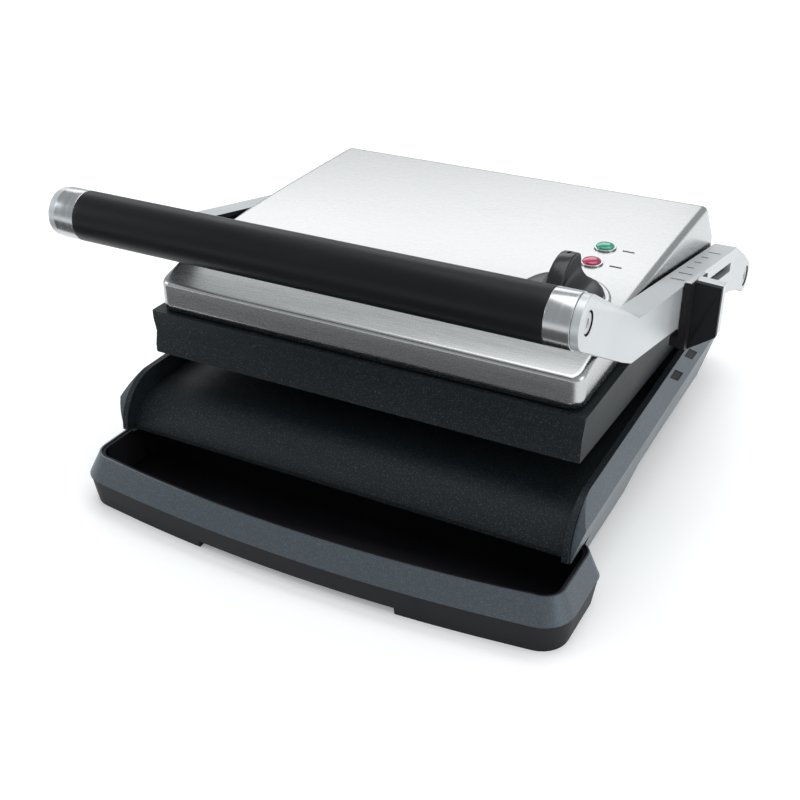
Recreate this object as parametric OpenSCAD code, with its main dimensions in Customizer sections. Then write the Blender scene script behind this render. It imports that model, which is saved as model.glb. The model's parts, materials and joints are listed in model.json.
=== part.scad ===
// Contact grill with a floating ribbed top plate, a swing-over handle and a
// height slider. X runs across the press (0 is its plane of symmetry), Y runs
// from the front to the back, and Z is up from the counter. Profiles are drawn
// as (Y, Z) or (X, Z) points, with Y counted from the line that joins the front
// corners of the drip tray.

/* [Overall] */
// Width of the lower cooking plate
plate_w = 319; // [266:1:384]
// Length of the base's side walls, front to back
wall_len = 290.5; // [242:0.5:349]
// Height of the handle's axis above the counter
handle_z = 201; // [190:1:216]
// Height of the rear hinge above the counter
hinge_z = 81; // [78:1:84]
// Distance from the tray's front corners back to the middle of the footprint
middle_y = 190; // [150:1:230]

/* [Base] */
// Height of the side walls' top edge above the counter, at the plate's front
wall_top_z = 75.5; // [73:0.5:77]
// Upward slope of the cooking deck towards the back, in degrees
deck_slope = 1.2; // [0:0.1:1.4]
// How far the side wall's crease stands out past its top edge
crease_out = 6.5; // [4:0.5:9]
// Drop from the wall's top edge to its crease
crease_drop = 14; // [8:1:18]
// How far the wall's lower edge is drawn in from its top edge
wall_tuck = 11.5; // [4:0.5:13]
// Thickness of the side wall's lower part
shell_t = 3; // [2:0.5:4]
// Height of the rubber feet
foot_h = 5; // [4:0.5:7]
// Radius of the rubber feet
foot_r = 9; // [7:0.5:12]
// Wall thickness of the bottom pan
pan_t = 2.5; // [2:0.5:4]

/* [Plates] */
// Thickness of the cast cooking plates
cast_t = 6; // [5:0.5:8]
// Height of the lower plate's rim above its cooking surface
rim_h = 13; // [8:1:15]
// Width of the lower plate's rim
rim_w = 4; // [3:0.5:6]
// Number of ribs under the top plate
rib_count = 22; // [12:2:26]
// Height of the ribs
rib_h = 3; // [2:0.5:4]
// Radius of the tubular heating elements
heater_r = 3.3; // [2.5:0.1:4]

/* [Lid] */
// Gap between the side walls' inner face and the lid's black rim
lid_gap = 7.2; // [6:0.1:9]
// How far the steel cover is set in from the black rim
cover_step = 5.3; // [4:0.1:8]
// Thickness of the steel sheet
sheet_t = 1.2; // [0.8:0.1:1.6]
// Radius of the steel cover's upright corners, seen from above
cover_corner = 8; // [4:0.5:12]
// Height of the lid's crown above the counter
lid_top_z = 159; // [156:1:166]
// Height of the black rim's top edge above the counter
rim_top_z = 117; // [115:0.5:118]
// Height of the black shadow gap under the cover
shadow_gap = 2; // [1:0.5:3]
// Radius of the temperature dial's skirt
dial_r = 26; // [22:0.5:28]
// Radius of the indicator lenses
lens_r = 6; // [5:0.2:8]

/* [Handle] */
// Radius of the handle's grip
grip_r = 15; // [13:0.5:17]
// Radius of the steel tube inside the grip
tube_r = 8; // [6:0.5:9]
// Length of each steel ferrule
ferrule_len = 14; // [10:1:16]
// Thickness of the cast arms
arm_t = 16.6; // [14:0.2:20]
// Clearance between the steel cover's side and an arm
arm_gap = 2; // [1:0.5:3]
// Radius of the hinge pins
pin_r = 5; // [4:0.5:6]
// Radius of the lid's pivot pins
float_r = 4; // [3:0.5:5]
// Radial running clearance of every pin in its bore
run_fit = 0.05; // [0.02:0.01:0.1]

/* [Height slider] */
// Height of the slider's track in the right arm
track_h = 7; // [5:0.5:8]
// Depth of the slider's track
track_depth = 6; // [4:0.5:7]
// Travel of the slider
slide_len = 100; // [60:1:104]
// Thickness of the slider's plate
slider_t = 5; // [4:0.5:7]
// How far the slider's thumb fin stands out
fin_out = 17; // [12:0.5:20]

/* [Drip tray] */
// How far the tray's inner edge stands out past the plate's side
tray_over = 4.5; // [3:0.5:8]
// How far the tray's front bows forward in the middle
tray_bow = 13.4; // [6:0.2:18]
// Height of the tray's upper edge
tray_h = 35; // [30:0.5:36]
// Height of the painted band's lower edge
band_z = 20; // [14:0.5:24]
// Corner radius of the tray, seen from above
tray_corner = 13; // [8:0.5:16]

/* [Hidden] */
$fn = 64;
eps = 0.01;

// Places across the press
half_w = plate_w / 2;
rim_x = half_w - lid_gap;
cover_x = rim_x - cover_step;
arm_in = cover_x + arm_gap;
arm_out = arm_in + arm_t;
seat_fit = 0.4;

// Places from front to back; slopes are measured from datum_y
datum_y = 92;
wall_front = 27.5;
wall_rear = wall_front + wall_len;
hinge_y = wall_rear + 68;
lid_front = 62;
lid_rear = wall_rear + 25;
crown_y = lid_rear - 34;
crown_len = crown_y - lid_front;
skirt_front = lid_front - 5;
float_y = (lid_front + lid_rear) / 2 + 3;
handle_y = 7;

// Heights
wall_foot_z = 9;
ledge_z = 40;
deck_top_z = wall_top_z - rim_h;
cover_z = rim_top_z + shadow_gap;
float_z = rim_top_z + 8;
skirt_z = 87.6;
skirt_drop = 15;
skirt_slope = atan(skirt_drop / (lid_rear - skirt_front));

// Front end of the arm and the corners of its outline
arm_end_r = grip_r - 0.6;
kink_y = handle_y + 91.7;
kink_z = handle_z - 35.4;
heel_y = hinge_y - 48;
heel_z = hinge_z + 41;
arm_slope = atan((kink_z - heel_z) / (heel_y - kink_y));
lobe_r = 12.5;

// The slider's track lies parallel to the arm's top edge
key_y = 205;
key_len = 20;
track_drop = 13;
track_spare = 12;

// Height of the arm's rear top edge at a given depth
function arm_top(y) = kink_z - (y - kink_y) * tan(arm_slope);
// Height of the side wall's top edge at a given depth
function wall_top(y) = wall_top_z + (y - datum_y) * tan(deck_slope);
// Height of the deck's cooking surface at a given depth
function deck_top(y) = deck_top_z + (y - datum_y) * tan(deck_slope);
// Height of the lid's underside at a given depth
function skirt_bottom(y) = skirt_z - (y - skirt_front) * tan(skirt_slope);
// Height of the lid's crown at a given depth: a long easy rise, tightening into the front ridge
function crown_u(y) = (crown_y - y) / crown_len;
function crown_z(y) = lid_top_z - 4 * crown_u(y) - 5 * pow(crown_u(y), 2) - 12 * pow(crown_u(y), 6);
function crown_tilt(y) = atan((4 + 10 * crown_u(y) + 72 * pow(crown_u(y), 5)) / crown_len);
// Points of an elliptical arc
function arc(cy, cz, ry, rz, from, to, steps = 12) =
    [for (i = [0:steps]) let (a = from + (to - from) * i / steps) [cy + ry * cos(a), cz + rz * sin(a)]];

// Moves the drawing so that the origin is at the middle of the footprint
module placed() translate([0, -middle_y, 0]) children();
// Extrudes a (Y, Z) outline between two X places
module across(x0, x1) translate([x0, 0, 0]) rotate([90, 0, 90]) linear_extrude(x1 - x0) children();
// Extrudes an (X, Z) outline between two Y places
module along(y0, y1) translate([0, y1, 0]) rotate([90, 0, 0]) linear_extrude(y1 - y0) children();
// A round bar along X between two X places
module bar(x0, x1, y, z, r) translate([x0, y, z]) rotate([0, 90, 0]) cylinder(r = r, h = x1 - x0);
// A box given by its two corners
module box(a, b) translate(a) cube(b - a);
// Plan of a rectangle with round corners, half_x wide on each side of the middle
module round_plan(half_x, y0, y1, r) polygon(concat(
    arc(half_x - r, y1 - r, r, r, 0, 90, 8), arc(-half_x + r, y1 - r, r, r, 90, 180, 8),
    arc(-half_x + r, y0 + r, r, r, 180, 270, 8), arc(half_x - r, y0 + r, r, r, 270, 360, 8)));
// Repeats its children on both sides
module both_sides() { children(); mirror([1, 0, 0]) children(); }
// Sits its children on the lid's crown, with their Z along its normal
module on_crown(x, y) translate([x, y, crown_z(y)]) rotate([crown_tilt(y), 0, 0]) children();

// ---- base ----

pan_rear = wall_rear - 6;
boss_x = half_w - 27.5;
boss_front = 82;
boss_rear = wall_rear - 22;
boss_z = 27;
screw_r = 2;
screw_head_r = 3.6;
screw_head_h = 2.4;
rail_y = 62;
rail_t = 5;
rail_top = 36;
rack_pitch = 34;
rack_front = 201;
rack_slot = 13;
rack_drop = 9;
rack_lean = 1.6;
rack_sunk = 1;
back_t = 3.6;
back_foot_z = 24;
pilot_depth = 8.5;

// Side view of the walls: a curved front, a long top, and a foot under the front half
module wall_side() {
    bend = 34;
    polygon(concat(
        arc(wall_front + bend, 41, bend, wall_top(wall_front + bend) - 40, 180, 90, 14),
        [[wall_rear, wall_top(wall_rear) + 2], [wall_rear, 22], [215, 27], [170, 26], [157, wall_foot_z],
         [64, wall_foot_z], [62, 38], [wall_front + 2, 38]]));
}

// Section of the right wall: sloping shoulder, crease, and a lower face that tucks in
module wall_section() {
    polygon([
        [half_w, wall_top_z], [half_w + crease_out, wall_top_z - crease_drop],
        [half_w - wall_tuck, wall_foot_z - 12], [half_w - wall_tuck - shell_t, wall_foot_z - 12],
        [half_w - wall_tuck - shell_t, ledge_z - 2], [half_w, ledge_z]]);
}

// Tilts its children to the deck's slope about a line at the given height
module on_slope(z) translate([0, datum_y, z]) rotate([deck_slope, 0, 0]) translate([0, -datum_y, -z]) children();

module base_shell() placed() color([0.55, 0.58, 0.6]) difference() {
    union() {
        both_sides() intersection() {
            on_slope(wall_top_z) along(wall_front - 20, wall_rear + 20) wall_section();
            across(half_w - 40, half_w + 40) wall_side();
        }
        both_sides() for (y = [boss_front, boss_rear])
            box([boss_x - 7, y - 7, boss_z], [half_w - wall_tuck - shell_t + 1, y + 7, ledge_z - 3]);
        box([-half_w + wall_tuck + 1, wall_rear - back_t - seat_fit, back_foot_z],
            [half_w - wall_tuck - 1, wall_rear - seat_fit, ledge_z - 1]);
    }
    both_sides() for (y = [boss_front, boss_rear])
        translate([boss_x, y, boss_z - 1]) cylinder(r = screw_r, h = pilot_depth + 0.5);
    for (i = [0:1]) rack_window(i);
}

// Shape of one notch of the height rack, which leans back as it goes down the shoulder
module rack_window(i) {
    y = rack_front + i * rack_pitch;
    top = wall_top(y);
    across(half_w + 0.8, half_w + crease_out + 4) polygon([
        [y - 4 * rack_lean, top + 4], [y + rack_slot - 4 * rack_lean, top + 4],
        [y + rack_slot + rack_drop * rack_lean, top - rack_drop],
        [y + rack_drop * rack_lean, top - rack_drop]]);
}

// Liners that fill the notches to just under the shoulder
module height_rack() placed() color([0.05, 0.05, 0.06]) for (i = [0:1]) intersection() {
    rack_window(i);
    translate([0, 0, -rack_sunk]) on_slope(wall_top_z) along(wall_front, wall_rear) wall_section();
}

module base_pan() placed() color([0.08, 0.08, 0.09]) difference() {
    pan_x = half_w - wall_tuck - shell_t - seat_fit;
    union() {
        difference() {
            union() {
                box([-pan_x, rail_y, foot_h], [pan_x, pan_rear, boss_z - 3]);
                box([-pan_x, rail_y, foot_h], [pan_x, rail_y + rail_t, rail_top]);
            }
            box([-pan_x + pan_t, rail_y + rail_t, foot_h + pan_t],
                [pan_x - pan_t, pan_rear - pan_t, boss_z]);
        }
        both_sides() for (y = [boss_front, boss_rear])
            translate([boss_x, y, foot_h]) cylinder(r = 6, h = boss_z - foot_h);
    }
    both_sides() for (y = [boss_front, boss_rear]) {
        translate([boss_x, y, foot_h - 1]) cylinder(r = screw_r + 0.1, h = boss_z);
        translate([boss_x, y, foot_h - 1]) cylinder(r = screw_head_r + 0.3, h = 1 + screw_head_h + 1);
    }
    both_sides() for (y = [foot_front, foot_rear])
        translate([foot_x, y, foot_h - 1]) cylinder(r = foot_r / 3, h = pan_t + 2);
}

foot_x = half_w - 45.5;
foot_front = 100;
foot_rear = wall_rear - 30;

module pan_screws() placed() color("silver") both_sides() for (y = [boss_front, boss_rear]) {
    translate([boss_x, y, foot_h + 1]) cylinder(r = screw_head_r, h = screw_head_h);
    translate([boss_x, y, foot_h + 1 + screw_head_h - eps])
        cylinder(r = screw_r, h = boss_z + pilot_depth - 2 - foot_h - screw_head_h);
}

module rubber_feet() placed() color([0.05, 0.05, 0.05]) both_sides() for (y = [foot_front, foot_rear]) {
    translate([foot_x, y, 0]) cylinder(r = foot_r, h = foot_h);
    translate([foot_x, y, foot_h - eps]) cylinder(r = foot_r / 3, h = pan_t + 1);
}

// ---- lower plate ----

plate_x = half_w - seat_fit / 4;
plate_rear = wall_rear - 5;
lip_y = 33;
lip_z = 38.5;

// Side view of the cooking deck: waterfall front, level deck, and a low stop at the back
module deck_side() {
    bend_y = lip_y + 44;
    polygon(concat(
        arc(bend_y, lip_z, 44, deck_top(bend_y) - lip_z, 180, 90, 14),
        [[plate_rear - 5, deck_top(plate_rear)], [plate_rear - 5, deck_top(plate_rear) + 4],
         [plate_rear, deck_top(plate_rear) + 4], [plate_rear, deck_top(plate_rear) - cast_t]],
        arc(bend_y, lip_z, 44 - cast_t, deck_top(bend_y) - lip_z - cast_t, 90, 180, 14)));
}

// Side view of the plate's rims, whose front ends reach past the lip
rim_tip_y = lip_y - 8;
rim_tip_z = lip_z + 2.5;
module rim_side() {
    bend = 33;
    polygon(concat(
        arc(rim_tip_y + bend, rim_tip_z, bend, wall_top(rim_tip_y + bend) - rim_tip_z, 180, 90, 14),
        [[plate_rear, wall_top(plate_rear)], [plate_rear, deck_top(plate_rear) - cast_t],
         [rim_tip_y + 50, deck_top(rim_tip_y + 50) - cast_t], [rim_tip_y + 24, rim_tip_z]]));
}

module lower_plate() placed() color([0.07, 0.075, 0.085]) {
    across(-plate_x + rim_w - eps, plate_x - rim_w + eps) deck_side();
    both_sides() across(plate_x - rim_w, plate_x) rim_side();
}

// A heating element: two legs and a front bar, bent from one round tube
module heater(x, y0, y1, bend) {
    both_sides() translate([x, y0 + bend, 0]) rotate([-90, 0, 0])
        cylinder(r = heater_r, h = y1 - y0 - bend);
    both_sides() translate([x - bend, y0 + bend, 0]) rotate([0, 0, -90]) rotate_extrude(angle = 90)
        translate([bend, 0]) circle(r = heater_r);
    bar(-x + bend - eps, x - bend + eps, y0, 0, heater_r);
}

module lower_heater() placed() color([0.35, 0.33, 0.32])
    translate([0, datum_y, deck_top(datum_y) - cast_t - heater_r - 0.05]) rotate([deck_slope, 0, 0])
        translate([0, -datum_y, 0]) heater(half_w - 46, 104, plate_rear - 16, 30);

module lower_reflector() placed() color([0.75, 0.75, 0.77]) {
    depth = plate_rear - 100;
    translate([-half_w + 18, 96, 39.6]) cube([plate_w - 36, depth, 0.8]);
    both_sides() box([half_w - 18.8, 96, 39.6], [half_w - 18, 96 + depth, 42.4]);
}

module thermal_cutout() placed() color([0.8, 0.78, 0.7]) {
    y = plate_rear - 60;
    translate([0, y, deck_top(y) - cast_t - 6.4]) cylinder(r = 8, h = 4);
    translate([0, y, deck_top(y) - cast_t - 2.5]) cylinder(r = 5.5, h = 2);
}

// ---- rear housing, hinge ----

house_x = cover_x;
house_rear = hinge_y + lobe_r;
house_top = hinge_z - 19;
house_t = 3;
cord_x = -house_x + 51;
cord_z = 42;
gland_r = 9;

// Side view of the rear housing, inset by a wall thickness and open below
module house_side(t) polygon([
    [wall_rear + t, 22 - t], [wall_rear + t, house_top - t], [house_rear - 5 - t / 2, house_top - t],
    [house_rear - t, house_top - 5 - t / 2], [house_rear - t, 22 - t]]);

module rear_housing() placed() color([0.08, 0.08, 0.09]) difference() {
    across(-house_x, house_x) house_side(0);
    across(-house_x + house_t, house_x - house_t) house_side(house_t);
    translate([cord_x, house_rear - house_t - 1, cord_z]) rotate([-90, 0, 0])
        cylinder(r = gland_r, h = house_t + 2);
}

module housing_floor() placed() color([0.08, 0.08, 0.09])
    box([-house_x + house_t, wall_rear + house_t, 22.4], [house_x - house_t, house_rear - house_t, 24.8]);

module cord_gland() placed() color([0.05, 0.05, 0.06]) difference() {
    union() {
        translate([cord_x, house_rear - house_t - 3, cord_z]) rotate([-90, 0, 0])
            cylinder(r = gland_r, h = house_t + 3);
        translate([cord_x, house_rear, cord_z]) rotate([-90, 0, 0]) cylinder(r = gland_r + 2.5, h = 3);
    }
    translate([cord_x, house_rear - 20, cord_z]) rotate([-90, 0, 0]) cylinder(r = 4, h = 40);
}

module terminal_block() placed() color([0.85, 0.83, 0.76]) {
    box([-32, wall_rear + house_t, 34], [32, wall_rear + house_t + 16, 50]);
    for (i = [-2:2]) translate([i * 12, wall_rear + house_t + 8, 50 - eps]) cylinder(r = 3, h = 2);
}

post_t = 16;
post_out = arm_in - 0.4;

module hinge_post() difference() {
    across(post_out - post_t, post_out) polygon(concat(
        [[hinge_y - 22, house_top]], arc(hinge_y, hinge_z, lobe_r, lobe_r, 170, 0, 14),
        [[house_rear - 6, house_top]]));
    bar(post_out - post_t - 1, post_out + 1, hinge_y, hinge_z, pin_r);
}

module hinge_post_left() placed() color([0.6, 0.61, 0.63]) mirror([1, 0, 0]) hinge_post();
module hinge_post_right() placed() color([0.6, 0.61, 0.63]) hinge_post();

recess_r = 8;
recess_depth = 4;

// A shouldered pin: its head lies in the arm's recess and has a hexagon socket
module hinge_pin() difference() {
    union() {
        bar(post_out - post_t, arm_out - recess_depth + 0.3, hinge_y, hinge_z, pin_r);
        bar(arm_out - recess_depth + 0.3 - eps, arm_out - 0.8, hinge_y, hinge_z, recess_r - 0.4);
    }
    translate([arm_out - 2.6, hinge_y, hinge_z]) rotate([0, 90, 0]) cylinder(r = 3, h = 4, $fn = 6);
}

module hinge_pin_left() placed() color([0.7, 0.7, 0.72]) mirror([1, 0, 0]) hinge_pin();
module hinge_pin_right() placed() color([0.7, 0.7, 0.72]) hinge_pin();

// ---- drip tray ----

tray_x = half_w + tray_over;
tray_rear = 57;
tray_wall = 2.6;
tray_floor = 7.5;
relief_x = half_w - 89.5;
relief_h = 5;
tongue_x = half_w - 83.5;

// Plan outline of the tray, grown outwards by a distance and cut short at the back by another
module tray_plan(grow, back = 0) {
    x = tray_x + grow;
    r = tray_corner + grow;
    rear = tray_rear - back;
    rear_r = 10;
    bow_r = (pow(x, 2) + pow(tray_bow, 2)) / (2 * tray_bow);
    corner_x = x - r;
    function front(px) = bow_r - tray_bow - sqrt(pow(bow_r, 2) - pow(px, 2)) - grow;
    corner = arc(corner_x, front(corner_x) + r, r, r, -asin(corner_x / bow_r) - 86, 0, 8);
    bowed = [for (i = [-9:9]) let (px = i * corner_x / 10) [px, front(px)]];
    side = concat(corner, arc(x - rear_r, rear - rear_r, rear_r, rear_r, 0, 90, 6));
    polygon(concat(bowed, side, [for (i = [len(side) - 1:-1:0]) [-side[i].x, side[i].y]]));
}

// A layer of the tray between two heights, with its own outline at each
module tray_layer(z0, grow0, z1, grow1) hull() {
    translate([0, 0, z0]) linear_extrude(eps) tray_plan(grow0);
    translate([0, 0, z1 - eps]) linear_extrude(eps) tray_plan(grow1);
}

module tray_pan() placed() color([0.06, 0.06, 0.07]) {
    difference() {
        union() {
            tray_layer(0, 4.5, band_z, 7.5);
            linear_extrude(tray_h - 1) tray_plan(-0.4);
        }
        translate([0, 0, tray_floor]) linear_extrude(tray_h) tray_plan(-tray_wall, tray_wall);
        across(-relief_x, relief_x) polygon([
            [-40, -1], [tray_rear - 20, -1], [tray_rear - 20, 0], [0, relief_h], [-40, relief_h]]);
    }
    both_sides() box([tongue_x, tray_rear - 8, 0.8], [tongue_x + 24, tray_rear + 58, foot_h - 0.6]);
}

module tray_band() placed() color([0.5, 0.54, 0.58]) difference() {
    tray_layer(band_z, 8, tray_h, 0.6);
    translate([0, 0, band_z - 1]) linear_extrude(tray_h) tray_plan(-0.4);
}

// ---- handle and arms ----

grip_end = arm_in - 2;
tab_in = grip_end + ferrule_len;
pocket_in = arm_in + 6.5;
pocket_front = 180;
pocket_rear = hinge_y - 36;
flange_t = 4.5;

// Side view of an arm, from the handle's axis down to the hinge
module arm_side() {
    polygon(concat(
        arc(handle_y, handle_z, arm_end_r, arm_end_r, 242, 62, 16),
        [[kink_y - 8, kink_z + 4.1], [kink_y - 3, kink_z + 1.2], [kink_y + 6, kink_z - 1.2],
         [heel_y, heel_z], [hinge_y - 14, hinge_z + 23]],
        arc(hinge_y, hinge_z, lobe_r, lobe_r, 40, -140, 14),
        [[hinge_y - 54, hinge_z + 8], [kink_y + 79, kink_z - 43], [kink_y - 9, kink_z - 25],
         [kink_y - 26, kink_z - 16.6]]));
}

// Side view of the hollow behind the arm's top flange, where the lid's rim moves
module pocket_side() {
    polygon([
        [pocket_front, arm_top(pocket_front) - flange_t], [pocket_rear, arm_top(pocket_rear) - flange_t],
        [pocket_rear, hinge_z - 20], [pocket_front, hinge_z - 20]]);
}

module arm() difference() {
    across(arm_in, arm_out) arm_side();
    across(arm_in - 1, tab_in) polygon([
        [handle_y - 30, handle_z - 30], [handle_y + grip_r + 3, handle_z - 40],
        [handle_y + grip_r + 3, handle_z + 30], [handle_y - 30, handle_z + 30]]);
    across(arm_in - 1, pocket_in) pocket_side();
    bar(tab_in - 1, arm_out + 1, handle_y, handle_z, 3);
    bar(arm_out - 2.2, arm_out + 1, handle_y, handle_z, 6.5);
    bar(arm_in - 1, arm_out, hinge_y, hinge_z, pin_r + run_fit);
    bar(arm_out - recess_depth, arm_out + 1, hinge_y, hinge_z, recess_r);
    bar(pocket_in - 1, pocket_in + 3.5, float_y, float_z, float_r);
}

module arm_left() placed() color([0.78, 0.79, 0.8]) mirror([1, 0, 0]) arm();

// A straight slot along the track between two depths
module track(y0, y1, h, x0, x1) {
    across(x0, x1) polygon([
        [y0, track_z(y0) - h / 2], [y1, track_z(y1) - h / 2],
        [y1, track_z(y1) + h / 2], [y0, track_z(y0) + h / 2]]);
}
function track_z(y) = arm_top(y) - track_drop;

track_start = key_y - key_len / 2 - 0.3;
track_end = key_y + slide_len * cos(arm_slope) + key_len / 2 + track_spare;

module arm_right() placed() color([0.78, 0.79, 0.8]) difference() {
    arm();
    track(track_start, track_end, track_h, arm_out - track_depth, arm_out + 1);
}

module track_liner() placed() color([0.06, 0.06, 0.07])
    track(track_start, track_end, track_h, arm_out - track_depth, arm_out - track_depth + 1);

module scale_marks() placed() color([0.1, 0.1, 0.1]) for (i = [0:5]) {
    y = key_y + i * slide_len * cos(arm_slope) / 5;
    len = i % 5 == 0 || i == 1 ? 9 : 5;
    translate([arm_in + 4, y, arm_top(y)]) rotate([-arm_slope, 0, 0]) translate([0, -0.6, 0])
        cube([len, 1.2, 0.12]);
}

module handle_tube() placed() color([0.6, 0.6, 0.62]) difference() {
    bar(-tab_in, tab_in, handle_y, handle_z, tube_r);
    bar(-tab_in + 22, tab_in - 22, handle_y, handle_z, tube_r - 1.5);
    both_sides() bar(tab_in - 14, tab_in + 1, handle_y, handle_z, 3);
}

module handle_grip() placed() color([0.06, 0.06, 0.065]) difference() {
    bar(-grip_end, grip_end, handle_y, handle_z, grip_r);
    bar(-grip_end - 1, grip_end + 1, handle_y, handle_z, tube_r);
}

module ferrule() difference() {
    bar(grip_end, tab_in, handle_y, handle_z, grip_r);
    bar(grip_end - 1, tab_in + 1, handle_y, handle_z, tube_r);
}

module ferrule_left() placed() color([0.75, 0.76, 0.77]) mirror([1, 0, 0]) ferrule();
module ferrule_right() placed() color([0.75, 0.76, 0.77]) ferrule();

module handle_screws() placed() color("silver") both_sides() difference() {
    union() {
        bar(tab_in - 12, arm_out - 2.2 + eps, handle_y, handle_z, 3);
        bar(arm_out - 2.2, arm_out - 0.6, handle_y, handle_z, 5.8);
    }
    translate([arm_out - 1.8, handle_y, handle_z]) rotate([0, 90, 0]) cylinder(r = 2.4, h = 3, $fn = 6);
}

pivot_in = cover_x - 12;

module lid_pivot() {
    bar(pivot_in, pocket_in + 3.5, float_y, float_z, float_r);
    bar(cover_x + 0.6, pocket_in - 0.2, float_y, float_z, float_r + 2);
}

module lid_pivot_left() placed() color([0.65, 0.65, 0.67]) mirror([1, 0, 0]) lid_pivot();
module lid_pivot_right() placed() color([0.65, 0.65, 0.67]) lid_pivot();

// ---- height slider ----

slider_front = key_y - 16;
slider_back = key_y + 24;
slider_foot = 103;
fin_h = 47;
slider_in = arm_out + 0.4;
slider_out = slider_in + slider_t;
fin_front = key_y - 8;
fin_t = 12;
fin_x = slider_out + fin_out;
trim_t = 8;

// Front view of the thumb fin, starting at a given place across the press
module fin_face(x) {
    polygon([
        [x, slider_foot], [fin_x, slider_foot + 12], [fin_x, slider_foot + fin_h - 1], [x, slider_foot + fin_h]]);
}

module slider_body() placed() color([0.05, 0.05, 0.055]) {
    across(slider_in, slider_out) polygon([
        [slider_front, arm_top(slider_front) + 2], [slider_back, arm_top(slider_back) + 2],
        [slider_back, slider_foot + 9], [slider_back - 8, slider_foot + 1],
        [slider_front + 7, slider_foot], [slider_front, slider_foot + 3]]);
    across(half_w + 1.5, slider_in + eps) polygon([
        [slider_front, slider_foot + 4], [slider_front + 7, slider_foot + 1],
        [slider_front + 16, slider_foot + 2], [slider_front + 16, slider_foot + 8.5],
        [slider_front, slider_foot + 11]]);
    along(fin_front, fin_front + fin_t - trim_t) fin_face(slider_out - eps);
}

module slider_trim() placed() color([0.75, 0.76, 0.78]) {
    along(fin_front + fin_t - trim_t, fin_front + fin_t) fin_face(slider_out);
    across(slider_in + 0.6, slider_out - 0.6) polygon([
        [slider_front + 1, arm_top(slider_front + 1) + 2], [slider_back - 1, arm_top(slider_back - 1) + 2],
        [slider_back - 1, arm_top(slider_back - 1) + 3.2],
        [slider_front + 1, arm_top(slider_front + 1) + 3.2]]);
}

module slider_key() placed() color([0.3, 0.3, 0.32])
    track(key_y - key_len / 2, key_y + key_len / 2, track_h - 0.4, arm_out - track_depth + 1.2, slider_in);

// ---- lid ----

lid_drop_y = lid_rear - 53;
rim_rear_z = rim_top_z - 13;
skirt_t = 4;
skirt_corner = 4;
waist_z = 102;
waist_in = 1.8;
ledge_x = cover_x - 4;
lid_post_x = rim_x - 24;
lid_posts = [90, lid_drop_y - 14];

// Height of the black rim's top edge, which drops away behind the arms' pocket
function rim_z(y) = rim_top_z - max(0, y - lid_drop_y) * (rim_top_z - rim_rear_z) / (lid_rear - lid_drop_y);

// Outline of the black plate casting, seen from the side, with its waist at half height
module skirt_side() {
    polygon([
        [skirt_front, skirt_bottom(skirt_front)], [skirt_front + waist_in + 0.7, waist_z],
        [skirt_front + 1.4, rim_top_z], [lid_drop_y, rim_top_z],
        [lid_rear, rim_rear_z], [lid_rear, skirt_bottom(lid_rear)]]);
}

// The hollow inside the casting, under its ledge
module skirt_hollow() {
    polygon([
        [skirt_front + 7, skirt_bottom(skirt_front + 7) + cast_t + rib_h], [skirt_front + 7, rim_top_z - 4],
        [lid_drop_y - 1, rim_top_z - 4], [lid_rear - skirt_t, rim_rear_z - 3],
        [lid_rear - skirt_t, skirt_bottom(lid_rear) + cast_t + rib_h]]);
}

module upper_plate() placed() color([0.07, 0.075, 0.085]) difference() {
    union() {
        difference() {
            intersection() {
                across(-rim_x - 1, rim_x + 1) skirt_side();
                along(skirt_front - 1, lid_rear + 1) polygon([
                    [-rim_x, rim_top_z], [-rim_x + waist_in, waist_z], [-rim_x + 0.6, skirt_z - 20],
                    [rim_x - 0.6, skirt_z - 20], [rim_x - waist_in, waist_z], [rim_x, rim_top_z]]);
                translate([0, 0, 60]) linear_extrude(rim_top_z - 50)
                    round_plan(rim_x, skirt_front, lid_rear, skirt_corner);
            }
            across(-rim_x + skirt_t, rim_x - skirt_t) skirt_hollow();
            box([-ledge_x, skirt_front + 10, 100], [ledge_x, lid_rear - 8, rim_top_z + 9]);
        }
        both_sides() for (y = lid_posts)
            translate([lid_post_x, y, skirt_bottom(y) + 4])
                cylinder(r = 5, h = rim_top_z - skirt_bottom(y) - 4);
    }
    rib_pitch = (2 * rim_x - 16) / rib_count;
    translate([0, skirt_front, skirt_z]) rotate([-skirt_slope, 0, 0]) for (i = [0:rib_count - 1])
        translate([-rim_x + 8 + (i + 0.25) * rib_pitch, 8, -1])
            cube([rib_pitch / 2, lid_rear - skirt_front - 16, 1 + rib_h]);
    both_sides() for (y = lid_posts)
        translate([lid_post_x, y, rim_top_z - 12]) cylinder(r = screw_r, h = 20);
}

module upper_heater() placed() color([0.35, 0.33, 0.32])
    translate([0, skirt_front, skirt_z + cast_t + rib_h + heater_r + 0.1]) rotate([-skirt_slope, 0, 0])
        heater(rim_x - 48, 36, lid_rear - skirt_front - 30, 30);

module upper_reflector() placed() color([0.75, 0.75, 0.77])
    box([-rim_x + 30, skirt_front + 18, 104], [rim_x - 30, lid_drop_y - 4, 104.8]);

// Outline of the drawn steel cover, seen from the side and inset by a distance
function cover_top(t) = concat(
    [[lid_front + t, cover_z], [lid_front - 0.4 + t, 133], [lid_front + 0.8 + t, 137 - t]],
    [for (i = [1:20]) let (y = lid_front + crown_len * pow(i / 20, 1.6))
        [y + (i < 3 ? t * 0.6 : 0), crown_z(y) - t]],
    [[crown_y + 4 - t * 0.3, lid_top_z - 1.4 - t], [lid_rear - t, cover_z + 4 - t * 0.6]]);

// The cover's solid shape, inset by a distance and carried down past its open edge
module cover_form(t, below) intersection() {
    across(-cover_x + t, cover_x - t) polygon(concat(cover_top(t), [
        [lid_rear - t, rim_rear_z + shadow_gap - below], [lid_drop_y, cover_z - below],
        [lid_front + t, cover_z - below]]));
    translate([0, 0, rim_rear_z - 10]) linear_extrude(lid_top_z)
        round_plan(cover_x - t, lid_front - 0.4 + t, lid_rear - t, cover_corner - t);
}

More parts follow.
